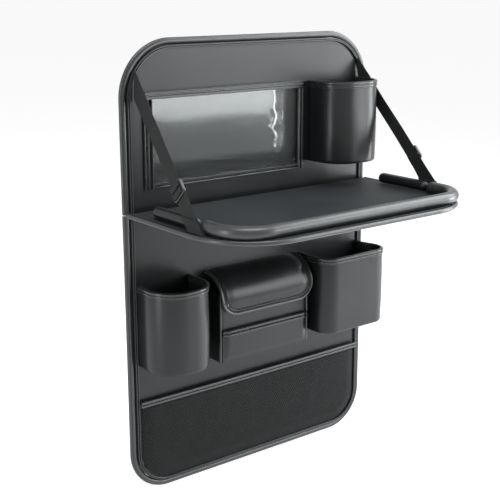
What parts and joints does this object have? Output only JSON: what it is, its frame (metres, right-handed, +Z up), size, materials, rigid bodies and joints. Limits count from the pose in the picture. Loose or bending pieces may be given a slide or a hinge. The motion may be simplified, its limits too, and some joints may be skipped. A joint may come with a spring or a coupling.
{
  "type": "car seat organizer",
  "caption": "Stiffened leatherette panel that hangs on a seat back, with a fold-up tray on straps, a clear window pocket, cup pockets, a wide pocket, a flapped box pocket and a mesh pocket.",
  "frame": {"origin": "middle of the flat back of the lower half, 200 mm above the bottom edge, where the panel lies on the seat back", "axes": "+Y points back into the seat, +Z up along the panel, +X to the right as seen from the front"},
  "size_m": [0.43, 0.2671, 0.626],
  "materials": {
    "leather": "satin black leatherette",
    "skin": "satin charcoal leatherette over thin foam",
    "roll": "satin leatherette over a foam or cord core",
    "webbing": "matte woven webbing",
    "plastic": "black moulded plastic",
    "film": "glossy clear film",
    "mesh": "black air mesh",
    "board": "stiffening board, hidden",
    "lining": "black nonwoven lining"
  },
  "bodies": {
    "panel": {"upper_back_lining": "lining", "upper_board": "board", "upper_front_skin": "skin", "upper_binding": "leather", "upper_inner_welt": "roll", "lower_back_lining": "lining", "lower_board": "board", "lower_front_skin": "skin", "lower_binding": "leather", "lower_inner_welt": "roll", "left_cup": "leather", "left_cup_hem": "leather", "right_pocket": "leather", "right_pocket_hem": "leather", "upper_cup": "leather", "upper_cup_hem": "leather", "box_pocket": "leather", "box_slot_pocket": "leather", "box_slot_hem": "leather", "box_left_piping": "roll", "box_right_piping": "roll", "mesh_pocket": "mesh", "mesh_hem": "leather", "window_left_band": "leather", "window_right_band": "leather", "window_bottom_band": "leather", "window_top_band": "leather", "window_film": "film", "tray_hinge_strip": "leather", "left_strap_upper": "webbing", "right_strap_upper": "webbing", "headrest_strap": "webbing", "headrest_strap_slider": "plastic"},
    "tray": {"tray_bottom_cover": "leather", "tray_board": "board", "tray_top_pad": "leather", "tray_binding": "roll", "left_side_roll": "roll", "right_side_roll": "roll", "front_roll": "roll", "left_strap_lower": "webbing", "left_adjuster": "plastic", "right_strap_lower": "webbing", "right_adjuster": "plastic"},
    "flap": {"flap": "leather", "flap_binding": "roll"}
  },
  "joints": [
    {"name": "tray_fold", "type": "hinge", "parent": "panel", "child": "tray", "pos_m": [0, -0.019, 0.211], "axis": [-1, 0, 0], "range_deg": [0, 85], "deforming": ["left_strap_upper", "left_strap_lower", "left_adjuster", "right_strap_upper", "right_strap_lower", "right_adjuster", "tray_hinge_strip", "upper_cup", "upper_cup_hem"]},
    {"name": "flap_lift", "type": "hinge", "parent": "panel", "child": "flap", "pos_m": [-0.004, -0.011, 0.1057], "axis": [-1, 0, 0], "range_deg": [0, 80]}
  ]
}
